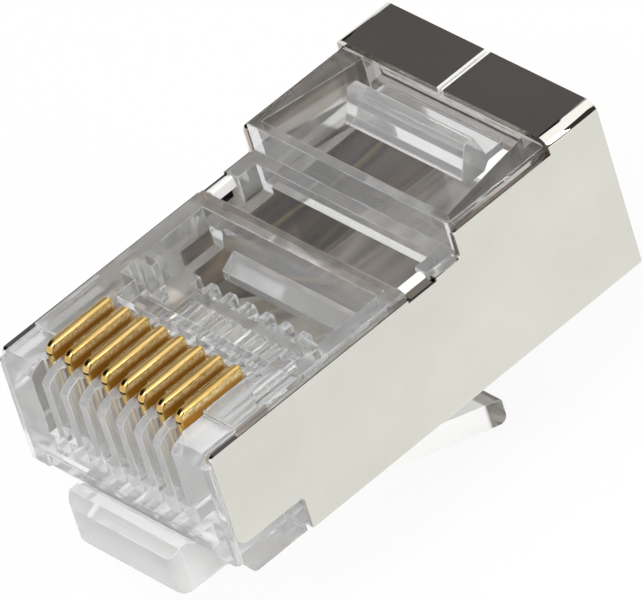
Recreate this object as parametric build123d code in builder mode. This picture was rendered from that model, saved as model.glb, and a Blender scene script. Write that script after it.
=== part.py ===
"""Shielded eight-way modular plug, not yet crimped, with no cable in it.

Frame: X across the plug, +Y from the nose to the cable entry, +Z towards the
side with the contacts. The origin is the foot of the nose's front face, on the
plug's centre line and level with the bottom of the metal shield. Sizes are in
millimetres.
"""

import os
from build123d import *

# Plug body, sheet and the eight ways, across X
body_width = 11.6
sheet = 0.25
sheet_clearance = 0.03
way_count = 8
way_pitch = 1.02

# Share of an edge's thickness that its rounding takes, and the slack in picking edges
rounding_share = 0.8
near = 0.01

# Clear housing, along Y from the nose
lip_length = 0.28
ledge_step_y = 1.85
comb_rear_y = 4.1
shelf_front_y = 4.55
pocket_front_y = 5.55
pillar_front_y = 6.37
pillar_rear_y = 6.7
guide_rear_y = 8.15
crossbar_front_y = 9.72
crossbar_rear_y = 10.4
gap_rear_y = 12.5
raised_front_y = 13.05
window_front_y = 13.45
housing_length = 20.15
rear_bridge = 2.2

# Clear housing, heights along Z
nose_bottom_z = 0.98
nose_step_z = 1.62
pocket_floor_z = 4.4
shelf_z = 5.45
rib_top_z = 6.22
ledge_front_z = 6.05
deck_z = 6.2
nose_top_chamfer = 0.35
rib_slope_length = 1.05
rib_slope_height = 0.4
nose_step_depth = 0.1
nose_step_width = 9.28

# Openings of the clear housing, across X
comb_width = 8.0
pocket_width = 9.6
pillar_gap = 8.0
cavity_width = 8.6
gap_width = 9.7
window_front_width = 10.2
window_rear_width = 8.7

# Cable cavity, heights along Z
cavity_floor_z = 0.95
cavity_roof_z = 5.3
cavity_entry_roof_z = 6.3
guide_floor_z = 1.95
cavity_ramp = 0.9
entry_chamfer = 0.3

# Feet either side of the latch, and their sloped fronts
foot_front_y = 0.22
foot_rear_y = 3.45
foot_slope_length = 0.62
foot_radius = 0.3

# Conductor guides, the lead-in slot at their mouths and the marks over it
guide_diameter = 0.92
guide_axis_z = 2.5
guide_wall = 0.6
lead_in_length = 0.6
lead_in_height = 1.1
mark_length = 0.5
mark_width = 0.6
mark_depth = 0.5

# Front slots of the comb
comb_slot_width = 0.62
comb_slot_depth = 0.75
comb_slot_floor_z = 3.0

# Contact blades, before the crimp
blade_thickness = 0.36
blade_length = 3.2
blade_top_z = 6.76
blade_shoulder_z = 4.05
tooth_tip_z = 3.05
tooth_width = 0.85
tooth_lean = 0.1
blade_front_radius = 0.42
blade_rear_radius = 0.15
blade_crown_radius = 0.12
blade_side_clearance = 0.02
blade_end_clearance = 0.08

# Metal shield
shield_front_y = 0.3
shield_overhang = 0.35
shield_side_z = 6.0
shield_step_y = 13.0
shield_height = 7.85
raised_drop = 0.4
rim_height = 0.25
wrap_length = 2.5
shield_bend = 0.5
shield_low_bend = 0.3
bend_clearance = 0.05
side_corner = 0.2
notch_corner = 0.55
notch_length = 3.25
notch_height = 1.69
latch_cutout_rear_y = 6.6
latch_cutout_margin = 0.25
seam_width = 0.14
tab_front_y = 10.45
tab_length = 1.08
tab_reach = 0.7
tab_root_z = 5.9
tab_top_z = 6.25
tab_lip_height = 0.48
tab_lip_lean = 0.1
tab_bend_radius = 0.38
tab_lip_radius = 0.1
tab_relief = 0.12
tab_clearance = 0.06
tab_recess_z = 5.0

# Latch lever
latch_width = 6.1
lever_width = 3.2
latch_front_y = -0.86
latch_block_bottom_z = -1.25
latch_block_top_z = 0.98
latch_block_chamfer = 0.4
latch_shoulder_y = 5.2
latch_tip_y = 15.58
latch_slope = 0.34
latch_knee_y = 1.2
latch_knee_z = 0.1
latch_thickness = 1.12
latch_heel_y = 1.7
latch_heel_drop = 0.07
latch_edge = 0.12
latch_front_radius = 0.3
latch_corner_radius = 0.5
latch_gap = 0.03
foot_margin = 0.12

# Crimp bars, hinged on thin webs
bar_gap = 0.05
web_thickness = 0.35
cable_bar_width = 6.42
cable_bar_setback = 2.27
cable_bar_lean = 0.54
cable_bar_depth = 0.5
cable_bar_height = 1.35
cable_bar_foot = 0.3
cable_web_drop = 0.95
cable_bar_edge = 0.06
wire_bar_width = 7.2
wire_bar_reach = 0.75
wire_web_z = 4.35
wire_bar_drop = 0.45
wire_bar_foot = 1.0

half_width = body_width / 2
core_half_width = half_width - sheet - sheet_clearance
core_bottom_z = sheet + sheet_clearance
core_top_z = shield_height - sheet - sheet_clearance
inner_bend = shield_bend - sheet + bend_clearance
inner_low_bend = shield_low_bend - sheet + bend_clearance
raised_z = shield_height - raised_drop
shield_raised_z = raised_z - rim_height
cable_web_z = raised_z - cable_web_drop
shield_rear_y = housing_length + shield_overhang
wrap_front_y = shield_rear_y - wrap_length
window_rear_y = housing_length - rear_bridge
blade_rear_y = comb_rear_y - blade_end_clearance
blade_front_y = blade_rear_y - blade_length
way_xs = [(way - (way_count - 1) / 2) * way_pitch for way in range(way_count)]
past_body = 2 * shield_height


def section_plane(y):
    """Plane across the plug at y, seen from the nose: local x is -X, local y is +Z."""
    return Plane(origin=(0, y, 0), x_dir=(-1, 0, 0), z_dir=(0, 1, 0))


def rectangle(x_size, y_low, y_high):
    """Rectangle on the current sketch, centred in x, between two y values."""
    with Locations((0, (y_low + y_high) / 2)):
        Rectangle(x_size, y_high - y_low)


def build_housing():
    """One clear moulding: nose with comb, pocket, crossbar, gap and raised window."""
    foot_slope_y = foot_front_y + foot_slope_length
    side_outline = [
        (0, nose_bottom_z),
        (0, ledge_front_z - nose_top_chamfer),
        (nose_top_chamfer, ledge_front_z),
        (ledge_step_y, ledge_front_z),
        (ledge_step_y, deck_z),
        (raised_front_y, deck_z),
        (raised_front_y, raised_z),
        (wrap_front_y, raised_z),
        (wrap_front_y, core_top_z),
        (housing_length, core_top_z),
        (housing_length, core_bottom_z),
        (foot_rear_y, core_bottom_z),
        (foot_rear_y, 0),
        (foot_slope_y, 0),
        (foot_front_y, nose_bottom_z),
    ]
    cavity_outline = [
        (housing_length, cavity_floor_z),
        (crossbar_rear_y + cavity_ramp, cavity_floor_z),
        (crossbar_front_y, guide_floor_z),
        (guide_rear_y, guide_floor_z),
        (guide_rear_y, pocket_floor_z),
        (crossbar_front_y, pocket_floor_z),
        (crossbar_rear_y, cavity_roof_z),
        (window_front_y, cavity_roof_z),
        (window_front_y + cavity_entry_roof_z - cavity_roof_z, cavity_entry_roof_z),
        (housing_length, cavity_entry_roof_z),
    ]
    with BuildPart() as housing:
        with BuildSketch(Plane.YZ):
            Polygon(*side_outline, align=None)
            slope_foot = vertices().sort_by(Axis.Y).sort_by(lambda point: abs(point.X - foot_slope_y))[0]
            fillet(slope_foot, foot_radius)
        extrude(amount=core_half_width, both=True)
        # lengthwise edges rounded where the shield bends round them
        low_edges = housing.edges().filter_by(Axis.Y).filter_by(
            lambda edge: edge.length > housing_length / 2 and edge.center().Z < nose_bottom_z
        )
        fillet(low_edges, inner_low_bend)
        wrap_edges = housing.edges().filter_by(Axis.Y).group_by(Axis.Z)[-1]
        fillet(wrap_edges, inner_bend)
        # nose lip, flush with the outside of the shield
        with BuildSketch(section_plane(0)):
            rectangle(body_width, nose_bottom_z, ledge_front_z - nose_top_chamfer)
        extrude(amount=lip_length)
        lip_edges = housing.edges().filter_by(Axis.Z).filter_by(
            lambda edge: abs(edge.center().X) > half_width - sheet / 2 and edge.center().Y < lip_length / 2
        )
        fillet(lip_edges, lip_length * rounding_share)
        # cable cavity and the funnel at its mouth
        with BuildSketch(Plane.YZ):
            Polygon(*cavity_outline, align=None)
        extrude(amount=cavity_width / 2, both=True, mode=Mode.SUBTRACT)
        mouth_edges = housing.faces().sort_by(Axis.Y)[-1].inner_wires()[0].edges()
        chamfer(mouth_edges, entry_chamfer)
        # comb: ribs level with the deck, sloping down to the nose
        with BuildSketch(Plane.YZ):
            Polygon(
                (0, past_body),
                (0, rib_top_z - rib_slope_height),
                (rib_slope_length, rib_top_z),
                (comb_rear_y, rib_top_z),
                (comb_rear_y, past_body),
                align=None,
            )
        extrude(amount=comb_width / 2, both=True, mode=Mode.SUBTRACT)
        # shelf behind the contacts, then the deep pocket with a pillar at each wall
        with BuildSketch(Plane.XY.offset(shelf_z)):
            rectangle(comb_width, shelf_front_y, pocket_front_y)
        extrude(amount=past_body, mode=Mode.SUBTRACT)
        with BuildSketch(Plane.XY.offset(pocket_floor_z)):
            rectangle(pocket_width, pocket_front_y, pillar_front_y)
            rectangle(pillar_gap, pillar_front_y, pillar_rear_y)
            rectangle(pocket_width, pillar_rear_y, crossbar_front_y)
        extrude(amount=past_body, mode=Mode.SUBTRACT)
        # gap behind the crossbar, and a recess under each tab of the shield
        with BuildSketch(Plane.XY.offset(cavity_roof_z - web_thickness)):
            rectangle(gap_width, crossbar_rear_y, gap_rear_y)
        extrude(amount=past_body, mode=Mode.SUBTRACT)
        with BuildSketch(Plane.XY.offset(tab_recess_z)):
            rectangle(body_width, tab_front_y - tab_clearance, tab_front_y + tab_length + tab_clearance)
        extrude(amount=past_body, mode=Mode.SUBTRACT)
        # window over the cable clamp, narrower towards the rear
        with BuildSketch(Plane.XY.offset(cavity_roof_z - web_thickness)):
            Polygon(
                (-window_front_width / 2, window_front_y),
                (window_front_width / 2, window_front_y),
                (window_rear_width / 2, window_rear_y),
                (-window_rear_width / 2, window_rear_y),
                align=None,
            )
        extrude(amount=past_body, mode=Mode.SUBTRACT)
        # recess for the latch between the feet, and the shallow step over it
        with BuildSketch(Plane.XY.offset(nose_bottom_z)):
            rectangle(latch_width + 2 * foot_margin, -foot_rear_y, foot_rear_y)
        extrude(amount=-past_body, mode=Mode.SUBTRACT)
        with BuildSketch(section_plane(0)):
            rectangle(nose_step_width, nose_bottom_z - sheet, nose_step_z)
        extrude(amount=nose_step_depth, mode=Mode.SUBTRACT)
        # conductor guides, blind at the nose
        with BuildSketch(section_plane(guide_wall)):
            with Locations(*[(x, guide_axis_z) for x in way_xs]):
                Circle(guide_diameter / 2)
        extrude(amount=guide_rear_y - guide_wall, mode=Mode.SUBTRACT)
        with BuildSketch(section_plane(guide_rear_y - lead_in_length)):
            with Locations((0, guide_axis_z)):
                Rectangle(cavity_width - sheet, lead_in_height)
        extrude(amount=lead_in_length, mode=Mode.SUBTRACT)
        with BuildSketch(Plane.XY.offset(pocket_floor_z)):
            with Locations(*[(x, guide_rear_y - mark_length / 2) for x in way_xs]):
                Rectangle(mark_width, mark_length)
        extrude(amount=-mark_depth, mode=Mode.SUBTRACT)
        # contact slots: narrow round the blade, wide and open at the front
        with BuildSketch(Plane.XY.offset(guide_axis_z)):
            with Locations(*[(x, (comb_slot_depth + comb_rear_y) / 2) for x in way_xs]):
                Rectangle(blade_thickness + 2 * blade_side_clearance, comb_rear_y - comb_slot_depth)
        extrude(amount=past_body, mode=Mode.SUBTRACT)
        with BuildSketch(Plane.XY.offset(comb_slot_floor_z)):
            with Locations(*[(x, 0) for x in way_xs]):
                Rectangle(comb_slot_width, 2 * comb_slot_depth)
        extrude(amount=past_body, mode=Mode.SUBTRACT)
    return housing


def build_blade(x):
    """Stamped contact blade with three insulation-piercing teeth."""
    middle = (blade_front_y + blade_rear_y) / 2
    outline = [
        (blade_front_y, blade_shoulder_z),
        (blade_front_y, blade_top_z),
        (blade_rear_y, blade_top_z),
        (blade_rear_y, blade_shoulder_z),
        (blade_rear_y - tooth_lean, tooth_tip_z),
        (blade_rear_y - tooth_width, blade_shoulder_z),
        (middle + tooth_width / 2, blade_shoulder_z),
        (middle, tooth_tip_z),
        (middle - tooth_width / 2, blade_shoulder_z),
        (blade_front_y + tooth_width, blade_shoulder_z),
        (blade_front_y + tooth_lean, tooth_tip_z),
    ]
    with BuildPart() as blade:
        with BuildSketch(Plane.YZ.offset(x)):
            Polygon(*outline, align=None)
        extrude(amount=blade_thickness / 2, both=True)
        top_front, top_rear = blade.edges().filter_by(Axis.X).group_by(Axis.Z)[-1].sort_by(Axis.Y)
        fillet(top_front, blade_front_radius)
        fillet(top_rear, blade_rear_radius)
        # crown that the jack's springs slide on
        crown_edges = blade.edges().filter_by(
            lambda edge: edge.center().Z > blade_top_z - blade_front_radius
            and abs(edge.center().X - x) > blade_thickness / 2 - near
        )
        fillet(crown_edges, blade_crown_radius)
    return blade


def build_shield():
    """Folded sheet: floor, two sides, and flaps that meet in a seam over the rear."""
    notch_rear = shield_front_y + notch_length
    kept_outline = [
        (shield_front_y, notch_height),
        (shield_front_y, shield_side_z),
        (shield_step_y, shield_side_z),
        (shield_step_y, shield_raised_z),
        (wrap_front_y, shield_raised_z),
        (wrap_front_y, shield_height),
        (shield_rear_y, shield_height),
        (shield_rear_y, 0),
        (notch_rear, 0),
        (notch_rear, notch_height),
    ]
    with BuildPart() as shield:
        with BuildSketch(section_plane(shield_front_y)):
            with Locations((0, shield_height / 2)):
                Rectangle(body_width, shield_height)
            fillet(vertices().group_by(Axis.Y)[-1], shield_bend)
            fillet(vertices().group_by(Axis.Y)[0], shield_low_bend)
            offset(amount=-sheet, mode=Mode.SUBTRACT)
        extrude(amount=shield_rear_y - shield_front_y)
        with BuildSketch(Plane.YZ):
            Polygon(*kept_outline, align=None)
            plate_corners = vertices().filter_by(lambda point: point.X < wrap_front_y - sheet)
            notch_front = plate_corners.sort_by(lambda point: point.X + point.Y)[0]
            fillet(plate_corners.filter_by(lambda point: point != notch_front), side_corner)
            notch_front = vertices().sort_by(lambda point: point.X + point.Y)[0]
            fillet(notch_front, notch_corner)
        extrude(amount=half_width, both=True, mode=Mode.INTERSECT)
        # side tabs, cut free, folded in over the housing and rising to a lip that points down
        with BuildSketch(Plane.XY.offset(tab_root_z)):
            rectangle(body_width, tab_front_y - tab_relief, tab_front_y + tab_length + tab_relief)
        extrude(amount=shield_side_z - tab_root_z, mode=Mode.SUBTRACT)
        lip_x = half_width - tab_reach
        tab_outline = [
            (half_width, tab_root_z - sheet),
            (half_width, tab_root_z),
            (lip_x, tab_top_z),
            (lip_x - tab_lip_lean, tab_top_z - tab_lip_height),
            (lip_x - tab_lip_lean + sheet, tab_top_z - tab_lip_height),
            (lip_x + sheet, tab_root_z),
            (half_width - sheet, tab_root_z - sheet),
        ]
        for side in (-1, 1):
            with BuildSketch(section_plane(tab_front_y)):
                Polygon(*[(side * x, z) for x, z in tab_outline], align=None)
                fillet(vertices().sort_by(Axis.Y)[-1], tab_lip_radius)
                bend_corner = vertices().filter_by(
                    lambda corner: abs(corner.X) > half_width - near and corner.Y > tab_root_z - near
                )
                fillet(bend_corner, tab_bend_radius)
            extrude(amount=tab_length)
        # cut-out that lets the pressed latch in, and the seam between the flaps
        with BuildSketch(Plane.XY.offset(-sheet)):
            rectangle(latch_width + 2 * latch_cutout_margin, 0, latch_cutout_rear_y)
        extrude(amount=3 * sheet, mode=Mode.SUBTRACT)
        with BuildSketch(Plane.XY.offset(shield_height - 2 * sheet)):
            rectangle(seam_width, wrap_front_y - sheet, shield_rear_y + sheet)
        extrude(amount=3 * sheet, mode=Mode.SUBTRACT)
    return shield


def build_latch():
    """Latch lever: block ahead of the nose, wide shoulders, narrow tail."""
    tip_top_z = latch_knee_z - latch_slope * (latch_tip_y - latch_knee_y)
    outline = [
        (-latch_gap, latch_block_top_z),
        (latch_front_y + latch_block_chamfer, latch_block_top_z),
        (latch_front_y, latch_block_top_z - latch_block_chamfer),
        (latch_front_y, latch_block_bottom_z),
        (latch_heel_y, latch_block_bottom_z - latch_heel_drop),
        (latch_tip_y, tip_top_z - latch_thickness),
        (latch_tip_y, tip_top_z),
        (latch_knee_y, latch_knee_z),
        (-latch_gap, nose_bottom_z - 2 * latch_gap),
    ]
    with BuildPart() as latch:
        with BuildSketch(Plane.YZ):
            Polygon(*outline, align=None)
        extrude(amount=latch_width / 2, both=True)
        # behind the shoulders only the narrow tail is left
        side_cut = (latch_width - lever_width) / 2
        tail_length = latch_tip_y - latch_shoulder_y
        with BuildSketch(Plane.XY.offset(-past_body)):
            with Locations(*[
                (side * (lever_width / 2 + side_cut), latch_shoulder_y + tail_length)
                for side in (-1, 1)
            ]):
                Rectangle(2 * side_cut, 2 * tail_length)
        extrude(amount=2 * past_body, mode=Mode.SUBTRACT)
        tip_edges = latch.edges().filter_by(Axis.X).sort_by(Axis.Y)[-2:].sort_by(Axis.Z)
        fillet(tip_edges[0], latch_front_radius)
        fillet(tip_edges[1], latch_edge)
        fillet(latch.edges().filter_by(Axis.Z).group_by(Axis.Y)[0], latch_corner_radius)
        low_front = latch.edges().filter_by(Axis.X).group_by(Axis.Y)[0].sort_by(Axis.Z)[0]
        fillet(low_front, latch_front_radius)
    return latch


def build_cable_bar():
    """Bar over the cable cavity, on a thin web at the window's rear wall."""
    web_y = window_rear_y - bar_gap
    bottom_front_y = window_rear_y - cable_bar_setback
    top_front_y = bottom_front_y + cable_bar_lean
    top_rear_y = top_front_y + cable_bar_depth
    outline = [
        (web_y, cable_web_z),
        (web_y, cable_web_z + web_thickness),
        (top_rear_y + cable_bar_foot, cable_web_z + web_thickness),
        (top_rear_y, cable_web_z + cable_bar_height),
        (top_front_y, cable_web_z + cable_bar_height),
        (bottom_front_y, cable_web_z),
        (bottom_front_y + cable_bar_foot, cable_web_z - cable_bar_foot),
        (top_rear_y, cable_web_z - cable_bar_foot),
        (top_rear_y + cable_bar_foot, cable_web_z),
    ]
    with BuildPart() as bar:
        with BuildSketch(Plane.YZ):
            Polygon(*outline, align=None)
        extrude(amount=cable_bar_width / 2, both=True)
        chamfer(bar.edges().filter_by(Axis.X).group_by(Axis.Z)[-1], cable_bar_edge)
    return bar


def build_wire_bar():
    """Wedge over the conductors, on a thin web at the crossbar's front face."""
    web_y = crossbar_front_y - bar_gap
    front_y = web_y - wire_bar_reach
    outline = [
        (web_y, wire_web_z),
        (web_y, wire_web_z + web_thickness),
        (front_y, wire_web_z + web_thickness - wire_bar_drop),
        (front_y, wire_web_z - wire_bar_foot + wire_bar_drop),
        (front_y + wire_bar_drop, wire_web_z - wire_bar_foot),
    ]
    with BuildPart() as bar:
        with BuildSketch(Plane.YZ):
            Polygon(*outline, align=None)
        extrude(amount=wire_bar_width / 2, both=True)
    return bar


def write(name, piece):
    """Label a finished piece and write its STEP file."""
    piece.part.label = name
    export_step(piece.part, f"parts/{name}.step")


os.makedirs("parts", exist_ok=True)
write("housing", build_housing())
write("shield", build_shield())
write("latch_lever", build_latch())
write("cable_clamp", build_cable_bar())
write("wire_clamp", build_wire_bar())
for number, way_x in enumerate(way_xs, start=1):
    write(f"contact_{number}", build_blade(way_x))
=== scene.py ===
"""Looks of the shielded eight-way plug: materials, light, floor and camera."""
from math import cos, radians, sin

import bpy
from mathutils import Matrix, Vector


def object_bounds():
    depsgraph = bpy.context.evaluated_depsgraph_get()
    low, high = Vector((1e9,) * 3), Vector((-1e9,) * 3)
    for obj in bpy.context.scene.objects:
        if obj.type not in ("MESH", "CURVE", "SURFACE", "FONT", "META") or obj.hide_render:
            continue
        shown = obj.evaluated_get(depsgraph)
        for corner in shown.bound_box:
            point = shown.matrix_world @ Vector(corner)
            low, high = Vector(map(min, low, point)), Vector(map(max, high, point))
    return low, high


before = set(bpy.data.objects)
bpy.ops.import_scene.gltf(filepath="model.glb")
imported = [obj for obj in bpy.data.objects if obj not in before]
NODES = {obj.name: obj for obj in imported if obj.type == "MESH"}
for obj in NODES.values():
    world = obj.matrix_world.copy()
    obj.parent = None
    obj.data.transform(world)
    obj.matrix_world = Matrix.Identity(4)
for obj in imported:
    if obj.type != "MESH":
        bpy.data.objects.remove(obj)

cad_low, cad_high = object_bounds()

MM = 0.001
CONTACTS = [f"contact_{number}" for number in range(1, 9)]

# Edge rounding of the pieces, and the angle from which an edge counts as sharp
WELD_DISTANCE = 0.0005 * MM
CLEAR_ROUNDING = 0.06 * MM
SHEET_ROUNDING = 0.04 * MM
GOLD_ROUNDING = 0.03 * MM
SHARP_ANGLE = radians(30)
ROUNDING_SEGMENTS = 2

# Camera of the photograph
CAMERA_TARGET = Vector((0, 10, 4)) * MM
CAMERA_OFFSET = Vector((-0.452, 0.283, 437.424)) * MM
CAMERA_AZIMUTH = radians(58.16)
CAMERA_ELEVATION = radians(38.25)
CAMERA_ROLL = radians(-17.68)
CAMERA_FOCAL_PIXELS = 12000
PHOTO_WIDTH = 643
SENSOR_WIDTH = 36
CLIP_START = 0.01
CLIP_END = 10

# Gold: painted shade on the lower part of the blades' sides, which gets little light, and
# in mm (off the middle, Y, Z) the box of the painted dark reflection on each blade's front
PAINTED_SHADE_GOLD = (0.40, 0.18, 0.015, 1)
PAINTED_SHADE_GOLD_Z = (6.34 * MM, 6.5 * MM)
CROWN_Y = (1.1 * MM, 1.25 * MM)
CROWN_MATTE = 0.28
SIDE_FACING = (0.985, 0.998)
SIDE_METALLIC = 0.5
GOLD_ROUGHNESS = (0.12, 0.42)
GRAIN_ROUGHNESS = 0.05
STAMPED_DEPTH = 0.012 * MM
STAMPED_STRENGTH = 0.8
PAINTED_REFLECTION_SPOT_BOX = ((0, 5), (0.7, 0.86), (6.32, 6.39))
MATTE_GOLD = [(0.38, (0.56, 0.39, 0.15)), (0.60, (0.96, 0.77, 0.40))]
POLISHED_GOLD = [(0.3, (0.60, 0.39, 0.12)), (0.7, (0.76, 0.54, 0.21))]

# Stretch of each noise along X, Y and Z, in details per metre. A noise keeps mostly
# between 0.3 and 0.7, so the tones and limits set on it lie about there.
STAMPED_STRETCH = (9000, 700, 2500)
GRAIN_STRETCH = (10000, 7000, 10000)
GOLD_STRETCH = (700, 500, 700)
FLOW_STRETCH = (260, 60, 260)
HAZE_STRETCH = (180, 180, 180)
SCUFF_STRETCH = (1300, 500, 1300)
HIGHLIGHT_PATCH_STRETCH = (700, 700, 700)
ROLLED_STRETCH = (3500, 120, 3500)
SHEEN_STRETCH = (220, 220, 220)
SCRATCH_STRETCH = (1200, 9000, 1200)
STREAK_STRETCH = (250, 28, 250)
FLOOR_STRETCH = (40, 40, 40)

# Floor, just under the tip of the latch
FLOOR_GAP = 0.1 * MM
FLOOR_SIZE = 1.2
FLOOR_COLOR = (0.86, 0.86, 0.85)
FLOOR_SPREAD = 1.01
FLOOR_WHITE_SHARE = 0.9
FLOOR_ROUGHNESS = 0.8

# Studio: even white. Shines also show dark panels and a brighter softbox, and what is
# seen through clear plastic has a faint shade where the back panel is. A panel's limits
# are on the components of the direction it is seen in.
STUDIO_STRENGTH = 0.78
STUDIO_WHITE = (1, 1, 1, 1)
PANEL_EDGE = 0.04
BACK_PANEL = {"X": (-0.97, -0.60), "Y": (0.39, 0.75), "Z": (0.30, 0.95)}
BACK_DARK = (0.119, 0.112, 0.116, 1)
FRONT_PANEL = {"X": (-0.97, -0.25), "Y": (-0.62, 0.36), "Z": (0.30, 0.98)}
FRONT_DARK = (0.012, 0.010, 0.010, 1)
SIDE_PANEL = {"X": (0.45, 1.1), "Y": (-0.2, 1.1), "Z": (-0.08, 0.46)}
SIDE_DARK = (0.05, 0.04, 0.04, 1)
SOFTBOX = {"X": (-0.56, 1.1), "Y": (-1.1, 1.1), "Z": (0.50, 1.1)}
SOFTBOX_WHITE = (1.36, 1.36, 1.37, 1)
THROUGH_DARK = (0.88, 0.87, 0.85, 1)

# Lamps: name, place from the object's middle and size in metres, power in watts
LAMPS = (
    ("key", (0.10, -0.12, 0.22), 0.12, 0.35),
    ("side", (0.26, 0.06, 0.10), 0.10, 0.2),
)

# Edges of the clear plastic are milkier than its faces and carry a painted highlight,
# some of them only a little. A turn is the cosine between a face and its rounded edge.
CLEAR_EDGE = 0.07 * MM
PAINTED_EDGE_HIGHLIGHT = (1.0, 1.0, 0.995, 1)
EDGE_MILK = 0.5
EDGE_TURN = (0.80, 0.97)
EDGE_LEAST = 0.15

# Clear plastic: how light bends in it, the waves that its flow left, and how much of
# its milkiness is left in the clearer box
CLEAR_IOR = 1.5
FLOW_DEPTH = 0.03 * MM
FLOW_STRENGTH = 0.4
CLEARER_SHARE = 0.3

# Width in mm over which a finish fades at the border of its box
BOX_SOFT = 0.03

# Painted reflection and shade that neighbours lend to the plastic: boxes in mm (off the
# middle, Y, Z) with a colour
HOUSING_PAINTED_REFLECTION_AND_SHADE = (
    (((0, 3.55), (1.2, 4.05), (5.6, 6.4)), (0.50, 0.26, 0.05)),
    (((4.5, 5.6), (13.2, 17.5), (6.9, 7.6)), (0.40, 0.38, 0.36)),
    (((0, 5.6), (17.7, 18.6), (5.2, 7.7)), (0.30, 0.285, 0.27)),
    (((0, 5.6), (9.85, 10.5), (5.9, 6.4)), (0.62, 0.58, 0.54)),
)
LATCH_TIP = ((0, 2), (14.85, 16), (-9, 0))
# painted shade on the tip of the latch, for the dark seen through its clear plastic
LATCH_TIP_PAINTED_SHADE = ((LATCH_TIP, (0.36, 0.34, 0.31)),)
CAVITY_BOX = ((0, 5.3), (8.3, 20), (0.3, 5.3))
TINT_SOFT = 0.15
TINT_SPREAD = 1.3

# Light paths: the metal box behind clear plastic needs many
GLOSSY_BOUNCES = 10
CLEAR_BOUNCES = 20

# Finish of the sheet: slant and shift of the rolling streaks, and the painted highlight on
# tabs and seam
STREAK_ANGLE = radians(17)
STREAK_SHIFT = 4 * MM
STREAK_OFFSETS = (-0.1, 0.12)
ROLLED_DEPTH = 0.004 * MM
ROLLED_STRENGTH = 0.15
SHEEN_ROUGHNESS = (0.05, 0.09)
SCRATCH_ROUGHNESS = 0.08
PAINTED_HIGHLIGHT_COLOR = (0.90, 0.895, 0.88, 1)
DARK_SHADE_AND_REFLECTION = (0.02, 0.016, 0.016, 1)
FOLD_DARK_REFLECTION = (0.13, 0.115, 0.10, 1)
SHADE_NONE = (1, 1, 1, 1)
SHADE_HIGH = (0.42, 0.38, 0.35, 1)
SHADE_REAR = (0.72, 0.70, 0.70, 1)
INSIDE_MATTE = 0.65
HIGHLIGHT_MATTE = 0.9
HIGHLIGHT_ROUGHNESS = 0.25
SHADE_HEIGHT_Z = (1 * MM, 4.5 * MM)
FLOOR_TOP_Z = (0.6 * MM, 0.62 * MM)

# Tones of the sheet, as ramps, with painted reflections and painted shade inside, and
# the boxes in mm (off the middle, Y, Z) that hold them
OUTER_TONES = [(0.3, (0.66, 0.652, 0.595)), (0.7, (0.72, 0.715, 0.655))]
PAINTED_INNER_FLOOR_REFLECTIONS = [
    (0.36, (0.50, 0.41, 0.32)),
    (0.41, (1.0, 0.92, 0.80)),
    (0.45, (0.64, 0.57, 0.51)),
    (0.48, (1.0, 0.98, 0.95)),
]
PAINTED_WALL_REFLECTIONS = [
    (0.30, (0.20, 0.16, 0.13)),
    (0.36, (0.55, 0.45, 0.36)),
    (0.39, (0.20, 0.17, 0.15)),
    (0.42, (1.0, 0.78, 0.48)),
    (0.45, (0.26, 0.22, 0.20)),
    (0.51, (0.90, 0.85, 0.80)),
]
PALE_WALL_TONES = [(0.3, (0.74, 0.71, 0.66)), (0.7, (0.93, 0.92, 0.90))]
PAINTED_SHADE_WALL_TONES = [(0.3, (0.30, 0.25, 0.20)), (0.7, (0.62, 0.56, 0.50))]
PALE_WALL_BOX = ((0, 5.7), (0, 21), (0.6, 7.62))
CAVITY_WALL_BOX = ((0, 5.7), (8.5, 21), (0.6, 4.7))
WINDOW_WALL_BOX = ((0, 5.7), (13, 21), (5.9, 7.62))
INNER_FLOOR_BOX = ((0, 5.6), (0, 21), (0.2, 0.6))
TAB_FOLD_REFLECTION_BOX = ((5.5, 5.9), (10.3, 11.7), (5.88, 6.13))
REAR_BOX = ((0, 5.7), (13.5, 21), (0.2, 5))
TAB_BOX = ((0, 5.42), (10.4, 11.6), (5.7, 6.4))
TAB_PAINTED_SHADE_BOX = ((0, 5.58), (10.2, 11.8), (4.9, 5.72))
SEAM_BOX = ((0, 0.15), (17, 21), (7.05, 8))
INSIDE_BOX = ((0, 5.7), (8.5, 21), (0.2, 4.7))
WALL_SOFT = 0.1
WINDOW_SOFT = 0.05


# Node helpers

def new_material(name):
    """Material with a Principled shader; returns it with its node tree and shader."""
    material = bpy.data.materials.new(name)
    material.use_nodes = True
    tree = material.node_tree
    return material, tree, tree.nodes["Principled BSDF"]


def link(tree, source, target):
    tree.links.new(source, target)


def object_coords(tree, scale, rotation=(0, 0, 0)):
    """Object coordinates, turned and stretched: the detail is per metre of the frame."""
    coords = tree.nodes.new("ShaderNodeTexCoord")
    mapping = tree.nodes.new("ShaderNodeMapping")
    mapping.inputs["Rotation"].default_value = rotation
    mapping.inputs["Scale"].default_value = scale
    link(tree, coords.outputs["Object"], mapping.inputs["Vector"])
    return mapping.outputs["Vector"]


def noise(tree, vector, detail, roughness=0.55):
    """Noise over coordinates that are already stretched to its scale."""
    node = tree.nodes.new("ShaderNodeTexNoise")
    node.inputs["Scale"].default_value = 1.0
    node.inputs["Detail"].default_value = detail
    node.inputs["Roughness"].default_value = roughness
    link(tree, vector, node.inputs["Vector"])
    return node.outputs["Fac"]


def ramp(tree, value, stops):
    """Colour ramp from (position, colour) stops."""
    node = tree.nodes.new("ShaderNodeValToRGB")
    elements = node.color_ramp.elements
    while len(elements) < len(stops):
        elements.new(0.5)
    for element, (position, color) in zip(elements, stops):
        element.position = position
        element.color = (*color, 1)
    link(tree, value, node.inputs["Fac"])
    return node.outputs["Color"]


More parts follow.
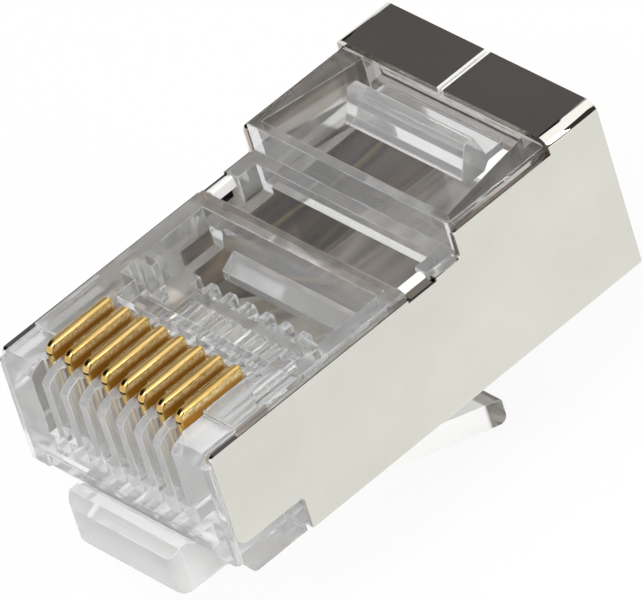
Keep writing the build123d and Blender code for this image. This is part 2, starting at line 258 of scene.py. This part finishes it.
def span(tree, value, low, high, to_low, to_high):
    """Value mapped from one range to another, clamped."""
    node = tree.nodes.new("ShaderNodeMapRange")
    limits = {"From Min": low, "From Max": high, "To Min": to_low, "To Max": to_high}
    for key, number in limits.items():
        node.inputs[key].default_value = number
    link(tree, value, node.inputs["Value"])
    return node.outputs["Result"]


def calc(tree, operation, first, second):
    """Result of an operation on two numbers or sockets."""
    node = tree.nodes.new("ShaderNodeMath")
    node.operation = operation
    for socket, value in zip(node.inputs, (first, second)):
        if isinstance(value, (int, float)):
            socket.default_value = value
        else:
            link(tree, value, socket)
    return node.outputs["Value"]


def mix_color(tree, share, first, second, blend="MIX"):
    """First colour blended into the second by a share from 0 to 1."""
    node = tree.nodes.new("ShaderNodeMix")
    node.data_type = "RGBA"
    node.blend_type = blend
    for name, value in (("Factor", share), ("A", first), ("B", second)):
        socket = [s for s in node.inputs if s.name == name and s.enabled][0]
        if isinstance(value, (int, float, tuple)):
            socket.default_value = value
        else:
            link(tree, value, socket)
    return [s for s in node.outputs if s.enabled][0]


def bump(tree, height, distance, strength):
    """Surface direction bent by a height."""
    node = tree.nodes.new("ShaderNodeBump")
    node.inputs["Strength"].default_value = strength
    node.inputs["Distance"].default_value = distance
    link(tree, height, node.inputs["Height"])
    return node.outputs["Normal"]


def edge_mask(tree, width):
    """1 on the rounded edges, 0 on the faces between them."""
    rounded = tree.nodes.new("ShaderNodeBevel")
    rounded.inputs["Radius"].default_value = width
    flat = tree.nodes.new("ShaderNodeNewGeometry")
    turned = tree.nodes.new("ShaderNodeVectorMath")
    turned.operation = "DOT_PRODUCT"
    link(tree, rounded.outputs["Normal"], turned.inputs[0])
    link(tree, flat.outputs["True Normal"], turned.inputs[1])
    return span(tree, turned.outputs["Value"], *EDGE_TURN, 1, 0)


def components(tree, kind="Object"):
    """X, Y and Z of a texture coordinate; Object is in metres of the frame."""
    coords = tree.nodes.new("ShaderNodeTexCoord")
    parts = tree.nodes.new("ShaderNodeSeparateXYZ")
    link(tree, coords.outputs[kind], parts.inputs["Vector"])
    return parts.outputs


def within_all(tree, ranges, soft):
    """1 where every (value, low, high) keeps its limits, fading to 0 outside them."""
    mask = None
    for value, low, high in ranges:
        within = calc(
            tree, "MULTIPLY",
            span(tree, value, low - soft, low, 0, 1),
            span(tree, value, high, high + soft, 1, 0),
        )
        mask = within if mask is None else calc(tree, "MULTIPLY", mask, within)
    return mask


def box_mask(tree, off_middle, along, height, soft=BOX_SOFT):
    """1 within limits in mm: distance from the middle plane, Y and Z."""
    parts = components(tree)
    values = (calc(tree, "ABSOLUTE", parts["X"], 0), parts["Y"], parts["Z"])
    limits = (off_middle, along, height)
    ranges = [(value, low * MM, high * MM) for value, (low, high) in zip(values, limits)]
    return within_all(tree, ranges, soft * MM)


def seen_rays(tree, paths):
    """1 for rays from the camera, a shine or clear plastic, 0 for spreading light."""
    seen = paths.outputs["Is Camera Ray"]
    for ray in ("Is Glossy Ray", "Is Transmission Ray"):
        seen = calc(tree, "MAXIMUM", seen, paths.outputs[ray])
    return seen


# Materials

def clear_plastic(name, milk, pale, deep, roughness, painted_tints=(), clearer=None):
    """Clear polycarbonate: slight flow lines, some milkiness, fine scuffs and painted edge
    highlights.

    Milk is two places along Y and the milkiness at each, painted_tints are (box,
    colour) pairs of painted reflection and shade that gold and metal close by lend to
    it, and clearer is a box with little milk.
    """
    material, tree, shader = new_material(name)
    flow = noise(tree, object_coords(tree, FLOW_STRETCH), 2.0)
    cloud = noise(tree, object_coords(tree, HAZE_STRETCH), 3.0)
    scuff = noise(tree, object_coords(tree, SCUFF_STRETCH), 3.0, 0.7)
    tone = ramp(tree, cloud, [(0.35, deep), (0.65, pale)])
    highlight_patches = noise(tree, object_coords(tree, HIGHLIGHT_PATCH_STRETCH), 2.0)
    patchy = span(tree, highlight_patches, 0.35, 0.6, EDGE_LEAST, 1)
    # painted highlight on the rounded edges, in patches
    edge_highlight = calc(tree, "MULTIPLY", edge_mask(tree, CLEAR_EDGE), patchy)
    link(tree, span(tree, scuff, 0.4, 0.75, *roughness), shader.inputs["Roughness"])
    link(tree, bump(tree, flow, FLOW_DEPTH, FLOW_STRENGTH), shader.inputs["Normal"])
    shader.inputs["IOR"].default_value = CLEAR_IOR
    for box, color in painted_tints:
        paler = tuple(min(1, TINT_SPREAD * c) for c in color)
        patch = ramp(tree, scuff, [(0.4, color), (0.65, paler)])
        # painted reflection and shade from the tint boxes
        tone = mix_color(tree, box_mask(tree, *box, TINT_SOFT), tone, patch)
    link(tree, mix_color(tree, edge_highlight, tone, PAINTED_EDGE_HIGHLIGHT), shader.inputs["Base Color"])
    from_y, to_y, from_milk, to_milk = milk
    milkiness = span(tree, components(tree)["Y"], from_y, to_y, from_milk, to_milk)
    if clearer is not None:
        share = span(tree, box_mask(tree, *clearer), 0, 1, 1, CLEARER_SHARE)
        milkiness = calc(tree, "MULTIPLY", milkiness, share)
    clearness = calc(tree, "SUBTRACT", 1.0, milkiness)
    clearness = calc(tree, "SUBTRACT", clearness, calc(tree, "MULTIPLY", edge_highlight, EDGE_MILK))
    link(tree, clearness, shader.inputs["Transmission Weight"])
    return material


def plated_sheet(name):
    """Nickel-plated sheet: rolling lines, cloudy sheen and scratches; painted reflections and
    shade inside, painted highlights on tabs and seam.
    """
    material, tree, shader = new_material(name)
    rolled = noise(tree, object_coords(tree, ROLLED_STRETCH), 3.0)
    cloud = noise(tree, object_coords(tree, SHEEN_STRETCH), 4.0)
    scratch = noise(tree, object_coords(tree, SCRATCH_STRETCH), 2.0, 0.8)
    tone = ramp(tree, cloud, OUTER_TONES)
    # inside: streaks left by rolling, coloured as painted reflections from brown to silver
    slanted = object_coords(tree, STREAK_STRETCH, (STREAK_ANGLE, 0, STREAK_ANGLE))
    streaks = noise(tree, slanted, 3.0, 0.5)
    across = span(tree, components(tree)["X"], -STREAK_SHIFT, STREAK_SHIFT, *STREAK_OFFSETS)
    streaks = calc(tree, "ADD", streaks, across)
    # painted shade: the walls darker towards the top
    height_shade = span(tree, components(tree)["Z"], *SHADE_HEIGHT_Z, 0, 1)
    height_shade = mix_color(tree, height_shade, SHADE_NONE, SHADE_HIGH)
    shaded_wall_reflections = mix_color(tree, 1.0, ramp(tree, streaks, PAINTED_WALL_REFLECTIONS), height_shade, "MULTIPLY")
    for box, soft, finish in (
        (PALE_WALL_BOX, WALL_SOFT, ramp(tree, cloud, PALE_WALL_TONES)),
        # painted reflections in the cavity walls' streaks
        (CAVITY_WALL_BOX, WALL_SOFT, shaded_wall_reflections),
        # painted shade on the walls behind the window
        (WINDOW_WALL_BOX, WINDOW_SOFT, ramp(tree, cloud, PAINTED_SHADE_WALL_TONES)),
        # painted reflections in the inner floor's streaks
        (INNER_FLOOR_BOX, BOX_SOFT, ramp(tree, streaks, PAINTED_INNER_FLOOR_REFLECTIONS)),
        # painted dark reflection in the fold of the tabs
        (TAB_FOLD_REFLECTION_BOX, BOX_SOFT, FOLD_DARK_REFLECTION),
    ):
        tone = mix_color(tree, box_mask(tree, *box, soft), tone, finish)
    shade = mix_color(tree, box_mask(tree, *REAR_BOX, WALL_SOFT), SHADE_NONE, SHADE_REAR)
    tone = mix_color(tree, 1.0, tone, shade, "MULTIPLY")
    # tabs, and the flap edges along the seam, get a painted highlight: pale, matte and rough
    painted_highlight = calc(tree, "MAXIMUM", box_mask(tree, *TAB_BOX), box_mask(tree, *SEAM_BOX))
    # painted shade in the hollow under each tab
    tone = mix_color(tree, box_mask(tree, *TAB_PAINTED_SHADE_BOX), tone, DARK_SHADE_AND_REFLECTION)
    tone = mix_color(tree, painted_highlight, tone, PAINTED_HIGHLIGHT_COLOR)
    link(tree, tone, shader.inputs["Base Color"])
    above_floor = span(tree, components(tree)["Z"], *FLOOR_TOP_Z, 1, INSIDE_MATTE)
    inside = calc(tree, "MULTIPLY", box_mask(tree, *INSIDE_BOX, WALL_SOFT), above_floor)
    matte = calc(tree, "MAXIMUM", calc(tree, "MULTIPLY", painted_highlight, HIGHLIGHT_MATTE), inside)
    link(tree, calc(tree, "SUBTRACT", 1.0, matte), shader.inputs["Metallic"])
    shine = calc(
        tree, "ADD",
        span(tree, cloud, 0.35, 0.7, *SHEEN_ROUGHNESS),
        span(tree, scratch, 0.62, 0.8, 0, SCRATCH_ROUGHNESS),
    )
    shine = calc(tree, "ADD", shine, calc(tree, "MULTIPLY", painted_highlight, HIGHLIGHT_ROUGHNESS))
    link(tree, shine, shader.inputs["Roughness"])
    link(tree, bump(tree, rolled, ROLLED_DEPTH, ROLLED_STRENGTH), shader.inputs["Normal"])
    return material


def gold_contact(name):
    """Gold-plated blade: matte stamped sides, polished crown and front, painted shade low on
    the sides and a painted dark reflection on the front.
    """
    material, tree, shader = new_material(name)
    stamped = noise(tree, object_coords(tree, STAMPED_STRETCH), 4.0)
    grain = noise(tree, object_coords(tree, GRAIN_STRETCH), 3.0, 0.7)
    cloud = noise(tree, object_coords(tree, GOLD_STRETCH), 3.0)
    sideways = calc(tree, "ABSOLUTE", components(tree, "Normal")["X"], 0)
    side = span(tree, sideways, *SIDE_FACING, 0, 1)
    # painted shade low on the blades' sides
    low = span(tree, components(tree)["Z"], *PAINTED_SHADE_GOLD_Z, 1, 0)
    matte = mix_color(tree, low, ramp(tree, grain, MATTE_GOLD), PAINTED_SHADE_GOLD)
    tone = mix_color(tree, side, ramp(tree, cloud, POLISHED_GOLD), matte)
    # painted dark reflection spot on each blade's front
    tone = mix_color(tree, box_mask(tree, *PAINTED_REFLECTION_SPOT_BOX), tone, DARK_SHADE_AND_REFLECTION)
    link(tree, tone, shader.inputs["Base Color"])
    finish = span(tree, side, 0, 1, *GOLD_ROUGHNESS)
    rough = calc(tree, "ADD", finish, span(tree, grain, 0.4, 0.7, 0, GRAIN_ROUGHNESS))
    link(tree, rough, shader.inputs["Roughness"])
    # behind its front rounding the crown is a little matte too
    crown = span(tree, components(tree)["Y"], *CROWN_Y, 0, CROWN_MATTE)
    crown = calc(tree, "MULTIPLY", crown, calc(tree, "SUBTRACT", 1.0, side))
    metallic = calc(tree, "SUBTRACT", span(tree, side, 0, 1, 1, SIDE_METALLIC), crown)
    link(tree, metallic, shader.inputs["Metallic"])
    link(tree, bump(tree, stamped, STAMPED_DEPTH, STAMPED_STRENGTH), shader.inputs["Normal"])
    return material


def floor_material(name):
    """Pale floor: mostly its own white for the camera, with a light soft shadow."""
    material, tree, shader = new_material(name)
    grain = noise(tree, object_coords(tree, FLOOR_STRETCH), 2.0)
    paler = tuple(c * FLOOR_SPREAD for c in FLOOR_COLOR)
    tone = ramp(tree, grain, [(0.3, FLOOR_COLOR), (0.7, paler)])
    link(tree, tone, shader.inputs["Base Color"])
    shader.inputs["Roughness"].default_value = FLOOR_ROUGHNESS
    glow = tree.nodes.new("ShaderNodeEmission")
    seen = seen_rays(tree, tree.nodes.new("ShaderNodeLightPath"))
    share = calc(tree, "MULTIPLY", seen, FLOOR_WHITE_SHARE)
    blend = tree.nodes.new("ShaderNodeMixShader")
    link(tree, share, blend.inputs["Fac"])
    link(tree, shader.outputs["BSDF"], blend.inputs[1])
    link(tree, glow.outputs["Emission"], blend.inputs[2])
    link(tree, blend.outputs["Shader"], tree.nodes["Material Output"].inputs["Surface"])
    return material


def dress(node_name, material, rounding):
    """Give a CAD node its material and small rounded edges, as modifiers."""
    piece = NODES[node_name]
    piece.data.materials.clear()
    piece.data.materials.append(material)
    weld = piece.modifiers.new("weld", "WELD")
    weld.merge_threshold = WELD_DISTANCE
    rounded = piece.modifiers.new("rounded_edges", "BEVEL")
    rounded.width = rounding
    rounded.segments = ROUNDING_SEGMENTS
    rounded.limit_method = "ANGLE"
    rounded.angle_limit = SHARP_ANGLE
    rounded.harden_normals = True
    rounded.use_clamp_overlap = True


# Studio and camera

def panel_mask(tree, direction, limits):
    """1 where every component of a direction is within its limits."""
    ranges = [(direction[axis], low, high) for axis, (low, high) in limits.items()]
    return within_all(tree, ranges, PANEL_EDGE)


def build_world():
    """White surroundings, with dark panels in what shiny and clear surfaces show."""
    world = bpy.data.worlds.new("studio")
    bpy.context.scene.world = world
    world.use_nodes = True
    tree = world.node_tree
    background = tree.nodes["Background"]
    direction = components(tree, "Generated")
    back = panel_mask(tree, direction, BACK_PANEL)
    shine = mix_color(tree, panel_mask(tree, direction, SOFTBOX), STUDIO_WHITE, SOFTBOX_WHITE)
    shine = mix_color(tree, back, shine, BACK_DARK)
    shine = mix_color(tree, panel_mask(tree, direction, FRONT_PANEL), shine, FRONT_DARK)
    shine = mix_color(tree, panel_mask(tree, direction, SIDE_PANEL), shine, SIDE_DARK)
    through = mix_color(tree, back, STUDIO_WHITE, THROUGH_DARK)
    paths = tree.nodes.new("ShaderNodeLightPath")
    color = mix_color(tree, paths.outputs["Is Glossy Ray"], STUDIO_WHITE, shine)
    color = mix_color(tree, paths.outputs["Is Transmission Ray"], color, through)
    link(tree, color, background.inputs["Color"])
    strength = span(tree, seen_rays(tree, paths), 0, 1, STUDIO_STRENGTH, 1)
    link(tree, strength, background.inputs["Strength"])


def build_floor():
    """Square floor under the plug, staged because it is no piece of it."""
    height = cad_low.z - FLOOR_GAP
    mesh = bpy.data.meshes.new("floor")
    half = FLOOR_SIZE / 2
    around = ((-half, -half), (half, -half), (half, half), (-half, half))
    corners = [(x, y, height) for x, y in around]
    mesh.from_pydata(corners, [], [(0, 1, 2, 3)])
    floor = bpy.data.objects.new("floor", mesh)
    bpy.context.scene.collection.objects.link(floor)
    mesh.materials.append(floor_material("floor_pale"))


def area_light(name, place, aim, size, power):
    """Soft square lamp at a place, pointed at a spot, in metres and watts."""
    lamp = bpy.data.lights.new(name, "AREA")
    lamp.shape = "SQUARE"
    lamp.size = size
    lamp.energy = power
    holder = bpy.data.objects.new(name, lamp)
    holder.location = place
    direction = Vector(aim) - Vector(place)
    holder.rotation_euler = direction.to_track_quat("-Z", "Y").to_euler()
    bpy.context.scene.collection.objects.link(holder)


def build_lamps():
    """Lamps around the plug, all pointed at its middle."""
    middle = (cad_low + cad_high) / 2
    for name, offset, size, power in LAMPS:
        area_light(name, middle + Vector(offset), middle, size, power)


def build_camera():
    """Camera of the photograph, from its azimuth, elevation, roll and offset."""
    back = Vector((
        sin(CAMERA_AZIMUTH) * cos(CAMERA_ELEVATION),
        -cos(CAMERA_AZIMUTH) * cos(CAMERA_ELEVATION),
        sin(CAMERA_ELEVATION),
    ))
    right = (-back).cross(Vector((0, 0, 1))).normalized()
    up = right.cross(-back)
    rolled_right = cos(CAMERA_ROLL) * right + sin(CAMERA_ROLL) * up
    rolled_up = -sin(CAMERA_ROLL) * right + cos(CAMERA_ROLL) * up
    place = (
        CAMERA_TARGET
        - rolled_right * CAMERA_OFFSET.x
        - rolled_up * CAMERA_OFFSET.y
        + back * CAMERA_OFFSET.z
    )
    lens = bpy.data.cameras.new("camera")
    lens.sensor_width = SENSOR_WIDTH
    lens.lens = SENSOR_WIDTH * CAMERA_FOCAL_PIXELS / PHOTO_WIDTH
    lens.clip_start = CLIP_START
    lens.clip_end = CLIP_END
    camera = bpy.data.objects.new("camera", lens)
    camera.matrix_world = Matrix((
        (rolled_right.x, rolled_up.x, back.x, place.x),
        (rolled_right.y, rolled_up.y, back.y, place.y),
        (rolled_right.z, rolled_up.z, back.z, place.z),
        (0, 0, 0, 1),
    ))
    bpy.context.scene.collection.objects.link(camera)
    bpy.context.scene.camera = camera


build_camera()
build_world()
build_floor()
build_lamps()

housing_clear = clear_plastic(
    "housing_polycarbonate",
    milk=(0.5 * MM, 4.5 * MM, 0.24, 0.1),
    pale=(0.975, 0.99, 1.0),
    deep=(0.935, 0.94, 0.94),
    roughness=(0.02, 0.1),
    painted_tints=HOUSING_PAINTED_REFLECTION_AND_SHADE,
    clearer=CAVITY_BOX,
)
latch_clear = clear_plastic(
    "latch_polycarbonate",
    milk=(1 * MM, 4 * MM, 0.4, 0.95),
    pale=(1, 1, 1),
    deep=(0.99, 0.99, 0.985),
    roughness=(0.04, 0.14),
    painted_tints=LATCH_TIP_PAINTED_SHADE,
    clearer=LATCH_TIP,
)
bar_clear = clear_plastic(
    "bar_polycarbonate",
    milk=(0, MM, 0.2, 0.2),
    pale=(0.90, 0.90, 0.90),
    deep=(0.78, 0.78, 0.77),
    roughness=(0.04, 0.14),
)
clear_materials = {
    "housing": housing_clear,
    "latch_lever": latch_clear,
    "cable_clamp": bar_clear,
    "wire_clamp": bar_clear,
}
sheet_metal = plated_sheet("nickel_sheet")
gold = gold_contact("gold_plating")
for node_name, clear in clear_materials.items():
    dress(node_name, clear, CLEAR_ROUNDING)
dress("shield", sheet_metal, SHEET_ROUNDING)
for node_name in CONTACTS:
    dress(node_name, gold, GOLD_ROUNDING)

bpy.context.scene.view_settings.view_transform = "Standard"
bpy.context.scene.cycles.glossy_bounces = GLOSSY_BOUNCES
bpy.context.scene.cycles.transmission_bounces = CLEAR_BOUNCES
bpy.context.scene.cycles.max_bounces = CLEAR_BOUNCES
